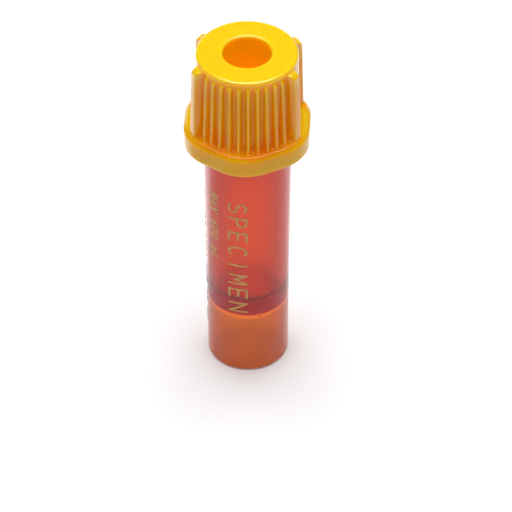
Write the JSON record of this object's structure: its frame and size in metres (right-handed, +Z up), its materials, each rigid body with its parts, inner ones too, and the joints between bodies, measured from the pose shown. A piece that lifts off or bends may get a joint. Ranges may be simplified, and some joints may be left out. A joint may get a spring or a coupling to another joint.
{
  "type": "capillary blood collection microtube with cap",
  "caption": "Slim amber plastic collection tube with an open skirt under its reservoir, volume lines, and a separate yellow ribbed plug cap that pulls off.",
  "frame": {"origin": "centre of the skirt's foot, on the surface the tube stands on", "axes": "+Z up the tube's axis towards the cap; -Y is the side that carries the lettering"},
  "size_m": [0.0144, 0.0148, 0.045],
  "materials": {
    "amber_plastic": "clear amber, glossy, thick moulded wall",
    "yellow_plastic": "smooth moulded gloss, slightly translucent",
    "gold_ink": "thin satin ink",
    "dark_ink": "thin ink-jet print"
  },
  "bodies": {
    "tube_body": {"tube": "amber_plastic", "scale_print": "gold_ink", "name_print": "gold_ink", "lot_print": "dark_ink"},
    "cap_body": {"cap": "yellow_plastic"}
  },
  "joints": [
    {"name": "cap_lift", "type": "slide", "parent": "tube_body", "child": "cap_body", "axis": [0, 0, 1], "range_m": [0, 0.02]}
  ]
}
